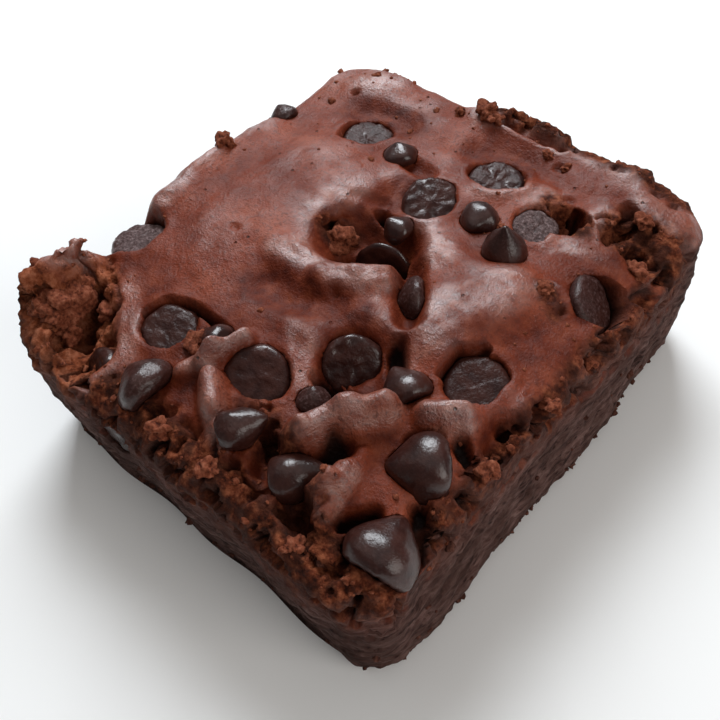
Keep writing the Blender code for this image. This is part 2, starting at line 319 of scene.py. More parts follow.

# %% [markdown]
# ## Zones of the surface
# One brownie has several surfaces: smooth skin, moist hollows where the skin is thin, torn crumb
# where it broke, and the dragged sides. The moist zone also carries painted shade in hollows and on
# low slopes. Each zone is a number from 0 to 1 at every point, worked out from place alone. The
# same zones drive the fine shape and, later, the colours.

# %% Zones
PLATE = ((-32.6, -25.2), (-33.6, -28.6), 3.4, 1.0, 0.4)
TORN = {
    "left_corner": ((-31.0, -29.0), (-24.0, -36.0), 9.0, 1.3, 0.5),
    "left_corner_edge": ((-36.0, -27.0), (-36.0, -36.0), 6.0, 1.3, 0.5),
    "front_left": ((-12.0, -38.0), (0.0, -38.5), 6.5, 1.1, 0.3),
    "front_middle": ((0.0, -38.0), (24.0, -38.5), 6.0, 1.0, 0.3),
    "between_chips": ((6.0, -28.0), (20.0, -32.0), 4.5, 0.7, 0.2),
    "right_front": ((34.5, -26.0), (34.5, -6.0), 4.5, 0.9, 0.3),
    "right_middle": ((35.0, -6.0), (35.0, 20.0), 3.6, 0.9, 0.3),
    "right_far": ((27.0, 27.0), (34.0, 27.0), 6.5, 1.1, 0.3),
    "far_edge": ((-4.0, 39.0), (30.0, 38.0), 4.0, 1.0, 0.3),
    "front_corner": ((25.0, -37.5), (34.0, -37.0), 5.5, 1.1, 0.5),
    "hole_edge": ((16.0, 25.0), (22.0, 23.0), 3.6, 0.9, 0.3),
    "hollow_crumb": ((-8.0, 2.0), (-6.0, 4.0), 3.0, 0.8, 0.3),
    "buried_chip": ((24.0, 10.0), (27.0, 8.0), 2.6, 0.7, 0.3),
}
# Places of moist batter colour, which are also painted darker as painted shade in hollows and on low
# slopes.
MOIST_AND_SHADE = {
    "hollow": ((-5.0, 2.5), (1.5, 4.0), 7.5, 1.0, 0.5),
    "hollow_slope": ((-4.0, 8.0), (-3.0, 15.0), 6.0, 0.9, 0.3),
    "below_left_chip": ((-27.0, -21.0), (-18.0, -24.0), 6.5, 0.8, 0.2),
    "round_sunk_chips": ((-13.0, -25.0), (12.0, -14.0), 8.0, 0.8, 0.3),
    "front": ((-10.0, -33.0), (24.0, -33.0), 7.0, 0.9, 0.4),
    "front_slope": ((-7.0, -12.5), (8.0, -10.5), 6.5, 1.0, 0.4),
    "cleft": ((7.0, 3.0), (15.0, -9.0), 4.0, 0.8, 0.2),
    "right_slope": ((22.0, -4.0), (31.0, 4.0), 7.0, 0.8, 0.2),
    "right_shoulder": ((29.0, 12.0), (30.0, 24.0), 7.0, 0.9, 0.3),
    "behind_far_chip": ((-23.0, 26.5), (-14.0, 28.0), 5.5, 1.0, 0.4),
    "behind_right_chip": ((0.0, 28.5), (7.0, 30.0), 5.0, 1.0, 0.3),
}


def to_outline(x, y):
    return np.minimum(WIDTH / 2 - np.abs(x), LENGTH / 2 - np.abs(y))


def corner_radius(x, y):
    radius = np.zeros_like(x)
    for (side_x, side_y), value in CORNER_RADII.items():
        radius[(np.sign(x) == side_x) & (np.sign(y) == side_y)] = value
    return radius


def to_edge(x, y):
    across, along, radius = WIDTH / 2 - np.abs(x), LENGTH / 2 - np.abs(y), corner_radius(x, y)
    in_corner = (across < radius) & (along < radius)
    to_arc = radius - np.hypot(radius - across, radius - along)
    return np.where(in_corner, to_arc, np.minimum(across, along))


def zone(x, y, table):
    return np.clip(np.max([lobe(x, y, form) for form in table.values()], axis=0), 0.0, 1.0)


def grain(points, size, octaves=2, stretch=(1.0, 1.0, 1.0), start=0.0):
    scale = [1.0 / (size * share) for share in stretch]
    return np.array([
        noise.fractal((x * scale[0] + start, y * scale[1], z * scale[2]), 1.0, 2.0, octaves)
        for x, y, z in points
    ])


def cells(points, size, stretch=(1.0, 1.0, 1.0)):
    scale = [1.0 / (size * share) for share in stretch]
    return np.array([
        noise.voronoi((x * scale[0], y * scale[1], z * scale[2]))[0][0] for x, y, z in points
    ])


print("zones:", len(TORN), "torn,", len(MOIST_AND_SHADE), "moist_and_shade")

# %% [markdown]
# ## Where each chip sits
# The frame holds a plain solid for every chip. Its largest flat is the chip's base, so the base's
# middle and facing, the radius and the height all come from there, and the fine chip lands exactly
# where the solid is.

# %% Read the chips' seats from the frame


def seat_of(node):
    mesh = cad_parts[node].data
    flats = {}
    for face in mesh.polygons:
        key = tuple(round(value, 1) for value in face.normal)
        flats.setdefault(key, []).append(face)
    base = max(flats.values(), key=lambda faces: sum(face.area for face in faces))
    total = sum(face.area for face in base)
    outward = sum((face.normal * face.area for face in base), Vector()) / total
    outward.normalize()
    middle = sum((face.center * face.area for face in base), Vector()) / total
    reach = [vertex.co - middle for vertex in mesh.vertices]
    height = max(-step.dot(outward) for step in reach)
    radius = max((step - outward * step.dot(outward)).length for step in reach)
    return {
        "middle": middle / MM + Vector((*TABLE_ORIGIN, 0.0)),
        "tip": -outward,
        "radius": radius / MM,
        "height": height / MM,
    }


chip_names = sorted(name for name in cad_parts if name.startswith("chip_"))
seats = {name: seat_of(name) for name in chip_names}
print("chips:", len(seats), "widest:", round(2 * max(seat["radius"] for seat in seats.values()), 1))

# %% [markdown]
# ## How each chip aged in the oven
# Some chips stayed glossy, some melted and slumped, and those that lay open to the heat went dull
# and grey with a rough skin. Three numbers tell them apart: gloss lost (bloom), roughness of the
# base in millimetres, and how far the shape slumped.

# %% Finish of each chip
CHIP_STATES = {
    "chip_01": (0.50, 0.30, 0.10),
    "chip_02": (0.10, 0.10, 0.35),
    "chip_03": (0.18, 0.36, 0.15),
    "chip_04": (0.35, 0.32, 0.10),
    "chip_05": (0.10, 0.16, 0.45),
    "chip_06": (0.25, 0.07, 0.08),
    "chip_07": (1.00, 0.25, 0.10),
    "chip_08": (0.05, 0.12, 0.35),
    "chip_09": (0.05, 0.12, 0.25),
    "chip_10": (0.70, 0.20, 0.20),
    "chip_11": (1.00, 0.30, 0.15),
    "chip_12": (0.10, 0.22, 0.15),
    "chip_13": (0.10, 0.16, 0.40),
    "chip_14": (0.45, 0.26, 0.45),
    "chip_15": (0.15, 0.22, 0.40),
    "chip_16": (0.08, 0.18, 0.10),
    "chip_17": (0.20, 0.30, 0.30),
    "chip_18": (0.15, 0.12, 0.25),
    "chip_19": (0.22, 0.16, 0.10),
    "chip_20": (0.15, 0.14, 0.20),
    "chip_21": (0.20, 0.28, 0.30),
    "chip_22": (0.10, 0.12, 0.20),
    "chip_23": (0.20, 0.18, 0.30),
    "chip_24": (0.80, 0.20, 0.25),
    "chip_25": (0.80, 0.14, 0.10),
    "chip_26": (0.60, 0.20, 0.30),
    "chip_27": (0.30, 0.20, 0.30),
}
print("dull chips:", [name for name, state in CHIP_STATES.items() if state[0] > 0.5])

# %% [markdown]
# ## Spinning a chip
# A baking chip is a drop of chocolate that fell on a cold belt, so it is a turned shape: flat
# below, round at the rim and drawn up to a tip. Half its outline is spun round, with rings on the
# base too, so that noise can roughen the base and slump the sides.

# %% Chip shapes
CHIP_OUTLINE = (
    (0.0, 0.0), (0.12, 0.0), (0.24, 0.0), (0.36, 0.0), (0.48, 0.0), (0.6, 0.0), (0.7, 0.0),
    (0.79, 0.005), (0.87, 0.02), (0.94, 0.055), (0.985, 0.11), (1.0, 0.17), (0.985, 0.24),
    (0.95, 0.31), (0.89, 0.385), (0.81, 0.46), (0.715, 0.535), (0.61, 0.605), (0.505, 0.675),
    (0.405, 0.745), (0.315, 0.81), (0.235, 0.87), (0.16, 0.925), (0.09, 0.97), (0.0, 1.0),
)
CUTTER_OUTLINE = (
    (0.0, 0.0), (0.4, 0.0), (0.7, 0.0), (0.87, 0.02), (0.985, 0.11), (0.985, 0.24), (0.89, 0.385),
    (0.715, 0.535), (0.505, 0.675), (0.315, 0.81), (0.16, 0.925), (0.0, 1.0),
)
CHIP_STEPS = 52
CUTTER_STEPS = 26
SEAT_GAP = 0.12
WELL_CHIPS = ("chip_09", "chip_15", "chip_25", "chip_27")
OPEN_WELL = (0.4, -0.7)
OPEN_WELL_DEPTH = 4.0


def spun(outline, radius, height, steps):
    bm = bmesh.new()
    verts = [bm.verts.new((across * radius, 0.0, up * height)) for across, up in outline]
    edges = [bm.edges.new(pair) for pair in zip(verts, verts[1:])]
    bmesh.ops.spin(
        bm, geom=[*verts, *edges], axis=(0, 0, 1), cent=(0, 0, 0), angle=math.tau,
        steps=steps, use_merge=True, use_duplicate=False,
    )
    bmesh.ops.remove_doubles(bm, verts=bm.verts, dist=0.01)
    bmesh.ops.recalc_face_normals(bm, faces=bm.faces)
    return bm


def seat_matrix(seat):
    turn = seat["tip"].to_track_quat("Z", "Y").to_matrix().to_4x4()
    place = Matrix.Translation(seat["middle"] - Vector((*TABLE_ORIGIN, 0.0)))
    return Matrix.Scale(MM, 4) @ place @ turn


def weather(bm, seat, state, number, grow=0.0):
    bloom, rough, slump = state
    away = number * 7.3
    for vertex in bm.verts:
        x, y, z = vertex.co / seat["radius"]
        up = max(0.0, vertex.co.z / seat["height"])
        swelling = 0.97 + 0.11 * noise.noise((x * 1.4, y * 1.4 + away, z))
        vertex.co.xy *= swelling * (1 + 1.6 * slump * up**1.5)
        vertex.co.z *= 1.0 - 0.35 * slump * up**2
    bm.normal_update()
    moves = []
    for vertex in bm.verts:
        x, y, z = vertex.co
        on_base = 1.0 if z < 0.12 * seat["height"] else 0.0
        low = noise.fractal((x / 3.6 + away, y / 3.6, z / 3.6), 1.0, 2.0, 2)
        mid = noise.fractal((x / 1.1, y / 1.1 + away, z / 1.1), 1.0, 2.0, 3)
        fine = noise.noise((x / 0.45, y / 0.45, z / 0.45 + away))
        step = -slump * (0.5 + 0.5 * low) - rough * (0.25 + 0.75 * on_base) * (0.5 + 0.9 * mid)
        moves.append((vertex, vertex.normal * (step - 0.04 * fine + grow)))
    for vertex, move in moves:
        vertex.co += move


def make_chip(name, number):
    seat = seats[name]
    bm = spun(CHIP_OUTLINE, seat["radius"], seat["height"], CHIP_STEPS)
    weather(bm, seat, CHIP_STATES[name], number)
    mesh = bpy.data.meshes.new(name + "_chocolate")
    bm.to_mesh(mesh)
    base = mesh.attributes.new("base", "FLOAT", "POINT")
    bloom = mesh.attributes.new("bloom", "FLOAT", "POINT")
    for index, vertex in enumerate(mesh.vertices):
        base.data[index].value = 1.0 if vertex.co.z < 0.06 * seat["height"] else 0.0
        bloom.data[index].value = CHIP_STATES[name][0]
    bm.free()
    mesh.transform(seat_matrix(seat))
    mesh.shade_smooth()
    chip = add_object(name + "_chocolate", mesh)
    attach(chip, "root")
    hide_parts(name)
    return chip


chips = [make_chip(name, number) for number, name in enumerate(chip_names)]
print("chip faces:", sum(len(chip.data.polygons) for chip in chips))

# %% [markdown]
# ## The cake as a fine slab
# The cake could be sculpted, but a rule is easier to adjust. A fine grid is the crust, and its
# border is extruded down ring by ring to make the cut sides, so that the whole cake is one closed
# skin. The grid is laid on the crust's height, and corners of the plan are drawn in to arcs.

# %% Lay out the slab
CRUST_CELLS = (196, 220)
SIDE_RINGS = 46


def flat_slab():
    bm = bmesh.new()
    bmesh.ops.create_grid(bm, x_segments=CRUST_CELLS[0], y_segments=CRUST_CELLS[1], size=0.5)
    bmesh.ops.scale(bm, vec=(WIDTH, LENGTH, 1.0), verts=bm.verts)
    border = [edge for edge in bm.edges if edge.is_boundary]
    for _ in range(SIDE_RINGS):
        grown = bmesh.ops.extrude_edge_only(bm, edges=border)["geom"]
        border = [item for item in grown if isinstance(item, bmesh.types.BMEdge)]
        rim = {vertex for edge in border for vertex in edge.verts}
        bmesh.ops.translate(bm, vec=(0.0, 0.0, -1.0 / SIDE_RINGS), verts=list(rim))
    bmesh.ops.contextual_create(bm, geom=border)
    bmesh.ops.triangulate(bm, faces=[face for face in bm.faces if len(face.verts) > 4])
    bmesh.ops.recalc_face_normals(bm, faces=bm.faces)
    mesh = bpy.data.meshes.new("cake")
    bm.to_mesh(mesh)
    bm.free()
    return mesh


def read_points(mesh):
    points = np.empty(len(mesh.vertices) * 3, np.float32)
    mesh.vertices.foreach_get("co", points)
    return points.reshape(-1, 3).astype(float)


def read_normals(mesh):
    normals = np.empty(len(mesh.vertices) * 3, np.float32)
    mesh.vertices.foreach_get("normal", normals)
    return normals.reshape(-1, 3).astype(float)


def write_points(mesh, points):
    mesh.vertices.foreach_set("co", points.astype(np.float32).ravel())
    mesh.update()


def rounded(x, y):
    radius = corner_radius(x, y)
    over_x = np.abs(x) - (WIDTH / 2 - radius)
    over_y = np.abs(y) - (LENGTH / 2 - radius)
    corner = (over_x > 0) & (over_y > 0)
    length = np.where(corner, np.hypot(over_x, over_y), 1.0)
    squeeze = np.where(corner, np.maximum(over_x, over_y) / length, 1.0)
    moved_x = np.where(corner, np.sign(x) * (np.abs(x) - over_x * (1 - squeeze)), x)
    moved_y = np.where(corner, np.sign(y) * (np.abs(y) - over_y * (1 - squeeze)), y)
    return moved_x, moved_y


def wavy(x, y):
    return 0.3 * np.sin(0.31 * x + 0.9) + 0.7 * np.sin(0.075 * y - 0.3)


def shape_slab(mesh):
    points = read_points(mesh)
    x, y, share = points[:, 0], points[:, 1], -points[:, 2]
    depth = to_outline(x, y)
    shoulder = SHOULDER_DROP * (1.0 - np.sin(np.clip(depth / SHOULDER_REACH, 0, 1) * math.pi / 2))
    x, y = rounded(x, y)
    spread = 1.0 + wavy(x, y) * eased(1.0 - depth / 12.0) / (WIDTH / 2)
    x, y = x * spread, y * spread
    top = crust_height(x, y) - shoulder
    foot = np.maximum(0.0, share - 0.8) / 0.2
    inset = BASE_INSET * share + FOOT_INSET * foot**2 - SIDE_BOW * np.sin(math.pi * share)
    inwards = 1.0 - inset * (share > 0) / np.hypot(x, y).clip(1.0)
    return np.column_stack([x * inwards, y * inwards, top * (1.0 - share)]), share


cake_mesh = flat_slab()
points, share = shape_slab(cake_mesh)
write_points(cake_mesh, points)
print("cake vertices:", len(points), "highest:", round(points[:, 2].max(), 2))

# %% [markdown]
# ## Wells over the sunk chips
# A chip that lies with its flat base up sits in a shallow well, because the crust rose round it
# and not over it. Crust points inside the chip's rim are lowered under the base, and the crust
# outside gets a small raised lip.

# %% Sink the wells
WELL_SOFTNESS = 0.4
LIP_RISE = 0.3
LIP_REACH = 1.6
FACES_UP = -0.7
COVERED = {
    "chip_01": (1.3, -50), "chip_03": (0.8, 0), "chip_04": (1.2, -80), "chip_07": (1.2, 30),
    "chip_11": (1.0, -30), "chip_12": (0.8, -60), "chip_16": (1.6, -80), "chip_17": (1.4, -45),
    "chip_19": (1.8, -20),
}


def sink_wells(points, share):
    crust = share < 0.25
    for name, seat in seats.items():
        tip = np.array(seat["tip"])
        if tip[2] > FACES_UP:
            continue
        steps = points - np.array(seat["middle"])
        along = steps @ tip
        radial = np.linalg.norm(steps - along[:, None] * tip, axis=1)
        near = (radial < seat["radius"] + 4.0) & (np.abs(along) < 6.0)
        near &= crust
        wobble = 0.45 * np.array([
            noise.noise(Vector(point) / 2.3) if close else 0.0 for point, close in zip(points, near)
        ])
        cover, heading = COVERED[name]
        facing = np.cos(np.arctan2(steps[:, 1], steps[:, 0]) - math.radians(heading))
        rim = seat["radius"] * 0.9 + 0.6 * wobble - cover * eased((facing - 0.1) / 0.7)
        inside = eased((rim + WELL_SOFTNESS - radial) / WELL_SOFTNESS)
        sunk = 0.8
        drop = np.where(near & (along < sunk), (sunk - along) * inside, 0.0)
        lip = LIP_RISE * eased(1.0 - np.abs(radial - rim - 1.0) / LIP_REACH)
        lip = np.where(near & (inside < 0.5), lip, 0.0)
        points = points + drop[:, None] * tip - lip[:, None] * tip
    return points


points = sink_wells(points, share)
write_points(cake_mesh, points)
print("wells sunk; lowest crust point now", round(points[share == 0][:, 2].min(), 2))

# %% [markdown]
# ## Fine shape of the surfaces
# Skin is nearly smooth, with faint wrinkles and pin holes. Torn crumb is all grains and caves.
# The sides carry long drag marks with pores between. Each is a layer of noise with its own
# stretch and depth, moved along the surface's own direction and weighted by its zone.

# %% Roughen the surfaces


def roughen(mesh, points, share):
    normals = read_normals(mesh)
    x, y, z = points.T
    edge_noise = grain(points, 2.6, 2, start=5.0)
    torn = np.clip(zone(x, y, TORN) * 1.25 - 0.25 + 0.25 * edge_noise - 0.5 * lobe(x, y, PLATE), 0.0, 1.0)
    torn *= eased((z - 12.0) / 9.0)
    side = eased(share * SIDE_RINGS / 5.0) * (1.0 - 0.6 * torn)
    skin = (1.0 - torn) * (1.0 - side)
    move = skin * (0.16 * grain(points, 4.5, 3) + 0.05 * grain(points, 0.9, 2, (1.0, 2.2, 1.0)))
    pin_holes = eased(1.0 - cells(points, 5.0) / 0.07)
    move -= 0.25 * pin_holes * skin
    lumps = 0.6 - cells(points, 3.1)
    grains = 0.55 - cells(points, 1.5)
    small_grains = 0.5 - cells(points, 0.8)
    caves = eased((-0.16 - grain(points, 3.0, 3, start=9.0)) / 0.22)
    move += torn * (0.8 * lumps + 0.6 * grains + 0.3 * small_grains - 2.4 * caves)
    left_corner_share = eased(lobe(x, y, TORN["left_corner"])) * (1.0 - side)
    move += left_corner_share * (1.5 * (0.5 - cells(points, 4.4)) + 0.9 * (0.5 - cells(points, 2.1)))
    streaks = grain(points, 1.1, 3, (3.0, 3.0, 0.8), start=2.0)
    pores = eased(1.0 - cells(points, 2.4, (1.5, 1.5, 0.75)) / 0.3)
    move += side * (0.42 * streaks + 0.3 * grain(points, 4.0, 2, start=7.0) - 0.6 * pores - 0.15)
    bulge = side * eased((13.0 - z) / 8.0)
    pulled_in = 0.8 * eased((-34.0 - y) / 3.0) * eased((30.0 - x) / 6.0)
    move += bulge * (1.4 * lobe(x, y, RIGHT_BULGE) - pulled_in)
    craters = eased(1.0 - cells(points, 6.0, (1.4, 1.4, 0.7)) / 0.26)
    move -= side * 0.9 * craters
    for middle, radius, deep in SIDE_HOLES:
        away = np.linalg.norm(points - np.array(middle), axis=1) / radius
        move -= deep * (1.0 - eased(away))
    foot = eased((2.6 - z) / 2.2) * side
    move += foot * 0.7 * (0.5 - cells(points, 1.9))
    move = np.where(z < 0.05, 0.0, move)
    moved = points + normals * move[:, None]
    moved[:, 2] = np.where(z < 0.05, 0.0, np.maximum(moved[:, 2], 0.05))
    return moved


points = roughen(cake_mesh, points, share)
write_points(cake_mesh, points)
print("roughened; highest:", round(points[:, 2].max(), 2))

# %% [markdown]
# ## Cutting the chips' seats
# The cake must not run through the chips. A plain, slightly swollen copy of each chip is cut out
# of it, which leaves a pocket with a hair of air all round, as where chocolate has shrunk from
# the crumb. One Boolean with all the copies joined is quicker than one for each chip.

# %% Cut the pockets


def joined_cutters():
    bm = bmesh.new()
    for number, (name, seat) in enumerate(seats.items()):
        part = spun(CUTTER_OUTLINE, seat["radius"], seat["height"], CUTTER_STEPS)
        weather(part, seat, CHIP_STATES[name], number, SEAT_GAP)
        if OPEN_WELL[0] > seat["tip"].z > OPEN_WELL[1] and name in WELL_CHIPS:
            for vertex in part.verts:
                if vertex.co.z < 0.05 * seat["height"]:
                    vertex.co.z -= OPEN_WELL_DEPTH
        part_mesh = bpy.data.meshes.new("cutter_part")
        part.to_mesh(part_mesh)
        part.free()
        part_mesh.transform(seat_matrix(seat))
        bm.from_mesh(part_mesh)
        bpy.data.meshes.remove(part_mesh)
    mesh = bpy.data.meshes.new("cutters")
    bm.to_mesh(mesh)
    bm.free()
    return add_object("cutters", mesh)


def cut_pockets(mesh):
    mesh.transform(Matrix.Scale(MM, 4) @ Matrix.Translation((-TABLE_ORIGIN[0], -TABLE_ORIGIN[1], 0.0)))
    raw = add_object("raw_cake", mesh)
    cutters = joined_cutters()
    cut = raw.modifiers.new("pockets", "BOOLEAN")
    cut.operation = "DIFFERENCE"
    cut.solver = "MANIFOLD"
    cut.object = cutters
    bpy.context.view_layer.update()
    done = bpy.data.meshes.new_from_object(raw.evaluated_get(bpy.context.evaluated_depsgraph_get()))
    for spent in (raw, cutters):
        bpy.data.objects.remove(spent)
    return done


cut_mesh = cut_pockets(cake_mesh)
print("faces before and after the cut:", len(cake_mesh.polygons), len(cut_mesh.polygons))

# %% [markdown]
# ## Marking the zones on the finished cake
# The materials need to know which surface they are on. The zones are worked out again from each
# finished point and stored on the mesh as named values, which move with the mesh wherever it goes.

# %% Store the zones


def ring_height(x, y, reach=5.0, steps=10):
    turns = [math.tau * step / steps for step in range(steps)]
    heights = [crust_height(x + reach * math.cos(t), y + reach * math.sin(t), gaps=False) for t in turns]
    return np.mean(heights, axis=0)


def mark_zones(mesh):
    points = read_points(mesh) / MM + np.array([*TABLE_ORIGIN, 0.0])
    normals = read_normals(mesh)
    x, y, z = points.T
    near_side = eased((4.0 - to_edge(x, y)) / 2.0)
    side = near_side * eased((0.72 - normals[:, 2]) / 0.35) * eased((25.5 - z) / 3.0)
    side = np.maximum(side, eased((16.0 - z) / 3.0))
    edge_noise = grain(points, 2.6, 2, start=5.0)
    torn = zone(x, y, TORN) * 1.3 - 0.2 + 0.3 * edge_noise - 0.9 * lobe(x, y, PLATE)
    torn = np.clip(torn, 0.0, 1.0) * eased((z - 12.0) / 9.0)
    raised = crust_height(x, y, gaps=False) - ring_height(x, y)
    # Moist batter colour, plus painted shade wherever the crust lies lower than the crust round it; raised
    # front ridges are kept out.
    moist_and_shade = np.clip(np.maximum(zone(x, y, MOIST_AND_SHADE), eased(-raised / 1.2)) + 0.25 * edge_noise, 0.0, 1.0)
    moist_and_shade *= 1.0 - 0.9 * eased(raised / 0.6) * eased((-14.0 - y) / 5.0)
    # deep: how far a point lies below the plain crust, in pockets, wells and gaps; the finish paints it
    # nearly black as painted shade.
    buried = crust_height(x, y, gaps=False) - z
    inland = eased((to_edge(x, y) - 1.4) / 1.2) * eased((z - 12.0) / 4.0)
    deep_skin, deep_crumb = eased((buried - 0.7) / 1.9), eased((buried - 1.4) / 2.4)
    deep = np.maximum(deep_skin * (1.0 - torn), deep_crumb * torn) * inland
    # left_corner_share: the left corner's torn crumb, which the finish paints lighter as painted fill
    # light and gives less painted shade.
    left_corner_share = np.clip(lobe(x, y, TORN["left_corner"]), 0.0, 1.0)
    deep *= 1.0 - np.maximum(0.7 * left_corner_share, 0.75 * torn * eased((y + 12.0) / 8.0))
    raised = eased(raised / 1.0) * (1.0 - side)
    side = side * (1.0 - 0.5 * torn)
    zones = {"side": side, "torn": torn, "moist_and_shade": moist_and_shade, "deep": deep, "raised": raised, "left_corner_share": left_corner_share}
    for name, values in zones.items():
        mesh.attributes.new(name, "FLOAT", "POINT").data.foreach_set("value", values.astype(np.float32))


mark_zones(cut_mesh)
cut_mesh.shade_smooth()
cut_mesh.name = "brownie_cake"
cake = add_object("brownie_cake", cut_mesh)
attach(cake, "root")
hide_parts("brownie")
cake_triangles = sum(len(face.vertices) - 2 for face in cut_mesh.polygons)
print("cake triangles:", cake_triangles)

# %% [markdown]
# ## Crumbs
# Cutting and lifting leaves crumbs on the crust and along the cut edges. A few large clods are
# listed one by one, and small ones are dropped at random places inside the crumbly zones. All crumbs
# of one kind are one joined mesh, and the many small ones have only a few dozen faces each.

# %% Drop the crumbs
CLODS = (
    (-29.6, -31.4, 3.2, 2.4), (-30.2, -28.2, 1.9, 1.6), (-31.4, -34.0, 1.8, 1.4), (-27.2, -33.6, 1.6, 1.4),
    (-7.2, 2.6, 2.3, 1.7), (-5.9, 3.6, 1.5, 1.3), (-3.6, 36.0, 1.7, 1.1), (-8.2, 34.8, 0.9, 0.7),
    (-33.0, 5.2, 1.4, 1.3), (-34.0, 17.6, 1.5, 1.2), (-1.5, 35.2, 1.1, 0.8), (17.5, 24.6, 1.4, 1.0),
    (19.2, 21.2, 1.0, 0.7), (-7.2, -25.2, 1.5, 1.0), (31.6, -33.2, 1.6, 1.0), (24.6, 9.6, 1.0, 0.5),
    (9.4, 33.6, 0.9, 0.6), (13.2, 33.0, 0.8, 0.5), (31.5, 22.0, 1.6, 1.0), (28.0, 30.0, 1.3, 0.9),
    (-29.5, -33.5, 1.8, 1.4), (-25.5, -27.5, 1.5, 1.2), (-34.5, -30.0, 1.7, 1.2), (15.9, 9.9, 0.7, 0.5),
    (13.5, 21.0, 0.8, 0.5), (12.5, 16.5, 0.6, 0.4), (7.0, -37.0, 1.4, 1.0), (-2.0, -37.0, 1.5, 1.0),
    (22.0, -37.5, 1.3, 0.9), (33.6, -16.0, 1.2, 0.9), (34.2, -3.0, 1.3, 0.9), (34.0, 6.5, 1.0, 0.8),
)
CRUMB_COUNT = 220
FOOT_CRUMB_COUNT = 170


def cake_surface():
    bm = bmesh.new()
    bm.from_mesh(cake.data)
    tree = BVHTree.FromBMesh(bm)
    bm.free()
    return tree


surface = cake_surface()


def on_crust(x, y):
    start = Vector((x - TABLE_ORIGIN[0], y - TABLE_ORIGIN[1], 60.0)) * MM
    return surface.ray_cast(start, Vector((0.0, 0.0, -1.0)))[0]


def add_crumb(bm, middle, size, flat, seed, clod=False):
    if clod:
        made = bmesh.ops.create_icosphere(bm, subdivisions=4, radius=1.0)["verts"]
    else:
        made = bmesh.ops.create_uvsphere(bm, u_segments=8, v_segments=6, radius=1.0)["verts"]
    turn = Matrix.Rotation(seed * 1.7, 3, "Z") @ Matrix.Rotation(seed * 2.9, 3, "X")
    for vertex in made:
        point = vertex.co.copy()
        bump = 1.0 + 0.75 * noise.noise(point * 1.4 + Vector((seed, 0.0, 0.0)))
        if clod:
            bump += 0.32 * (0.5 - noise.voronoi(point * 1.9 + Vector((0.0, seed, 0.0)))[0][0])
            bump += 0.12 * noise.noise(point * 5.0 + Vector((0.0, 0.0, seed)))
        point = turn @ (point * bump)
        vertex.co = middle + Vector((point.x, point.y, point.z * flat)) * size * MM


def crumbs_object(name, bm):
    mesh = bpy.data.meshes.new(name)
    bm.to_mesh(mesh)
    bm.free()
    mesh.shade_smooth()
    crumbs = add_object(name, mesh)
    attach(crumbs, "root")
    return crumbs


def drop_clods():
    bm = bmesh.new()
    for number, (x, y, size, tall) in enumerate(CLODS):
        ground = on_crust(x, y)
        if ground is not None:
            middle = ground + Vector((0, 0, 0.25 * tall * MM))
            add_crumb(bm, middle, size, tall / size, number * 3.1, clod=True)
    return crumbs_object("crumb_clods", bm)


def drop_crumbs():
    draw = random.Random(5)
    bm = bmesh.new()
    dropped = 0
    while dropped < CRUMB_COUNT:
        x, y = draw.uniform(-35, 35), draw.uniform(-39, 39)
        wanted = float(zone(np.array([x]), np.array([y]), TORN)[0])
        wanted = max(0.03, wanted, 0.3 if y > 24 or x > 24 else 0.0)
        size = draw.uniform(0.14, 0.32) + 0.45 * draw.random() ** 5
        if draw.random() > wanted:
            continue
        ground = on_crust(x, y)
        if ground is None or ground.z < 18 * MM:
            continue
        add_crumb(bm, ground, size, draw.uniform(0.5, 0.8), dropped * 1.3)
        dropped += 1
    return crumbs_object("crust_crumbs", bm)


def stick_foot_crumbs():
    draw = random.Random(9)
    bm = bmesh.new()
    for number in range(FOOT_CRUMB_COUNT):
        angle = draw.uniform(0.0, math.tau)
        high = 0.6 + 22.0 * draw.random() ** 3
        start = Vector((math.cos(angle) * 70.0, math.sin(angle) * 70.0, high)) * MM
        hit = surface.ray_cast(start, Vector((-math.cos(angle), -math.sin(angle), 0.0)))
        size = draw.uniform(0.2, 0.42) + 0.45 * draw.random() ** 4
        middle = hit[0] + hit[1] * 0.1 * size * MM
        middle.z = max(middle.z, 1.4 * size * MM)
        add_crumb(bm, middle, size, 0.9, number * 2.3)
    return crumbs_object("side_crumbs", bm)


crumb_pieces = [drop_clods(), drop_crumbs(), stick_foot_crumbs()]
print("crumb faces:", {piece.name: len(piece.data.polygons) for piece in crumb_pieces})

# %% [markdown]
# ## Mixing finishes
# Every material below is built from the same few steps: a point in millimetres, noise of a given
# grain, a ramp of colours, and a mix driven by a zone. A small mixer keeps those steps short.

# %% A mixer for finishes


